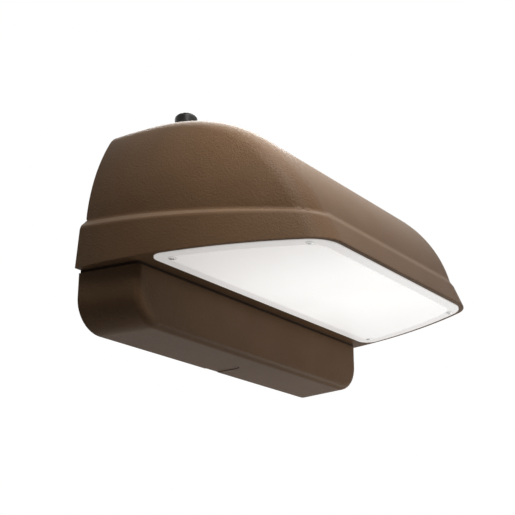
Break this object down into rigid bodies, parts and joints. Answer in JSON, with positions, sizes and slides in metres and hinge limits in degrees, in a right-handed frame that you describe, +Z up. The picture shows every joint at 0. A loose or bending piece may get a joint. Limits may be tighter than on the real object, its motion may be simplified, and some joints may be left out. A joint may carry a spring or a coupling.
{
  "type": "wall pack light",
  "caption": "Outdoor wall light: a domed die-cast hood over a flat frosted lens, with a wiring box below its rear edge, hooked on a wall plate.",
  "frame": {"origin": "the wall plate's back face on the centre line, level with the hood's rim", "axes": "+Y into the wall, so the front faces -Y; +Z up; +X to the right seen from in front"},
  "size_m": [0.411, 0.2408, 0.2322],
  "materials": {
    "bronze_paint": "textured dark bronze powder coat on die-cast aluminium",
    "box_paint": "textured dark bronze powder coat on die-cast aluminium",
    "frosted_lens": "frosted white polycarbonate",
    "black_rubber": "matt black",
    "sink_aluminium": "plain die-cast aluminium",
    "reflector_white": "gloss white sheet",
    "board_white": "white solder mask",
    "led_yellow": "phosphor yellow",
    "connector_white": "moulded white",
    "zinc_steel": "zinc plated",
    "driver_case": "satin sheet",
    "surge_blue": "moulded blue",
    "terminal_grey": "moulded grey",
    "photocell_black": "black moulding",
    "nut_steel": "zinc plated",
    "pin_steel": "bright steel",
    "plate_cast": "textured dark bronze powder coat on die-cast aluminium",
    "foam_grey": "closed-cell foam",
    "screw_steel": "blackened steel"
  },
  "bodies": {
    "wall_mount": {"wall_plate": "plate_cast", "wall_gasket": "foam_grey"},
    "housing": {"hood_housing": "bronze_paint", "back_box": "box_paint", "box_gasket": "black_rubber", "slot_blank": "black_rubber", "locking_screw": "screw_steel", "lens": "frosted_lens", "lens_gasket": "black_rubber", "heat_sink": "sink_aluminium", "reflector_strips": "reflector_white", "led_boards": "board_white", "led_packages": "led_yellow", "board_connectors": "connector_white", "driver_bracket": "zinc_steel", "led_driver": "driver_case", "surge_protector": "surge_blue", "terminal_block": "terminal_grey", "photocell": "photocell_black", "photocell_locknut": "nut_steel", "hinge_pins": "pin_steel"}
  },
  "joints": [
    {"name": "housing_swing", "type": "hinge", "parent": "wall_mount", "child": "housing", "pos_m": [0, -0.007, 0.1485], "axis": [-1, 0, 0], "range_deg": [0, 30]}
  ]
}
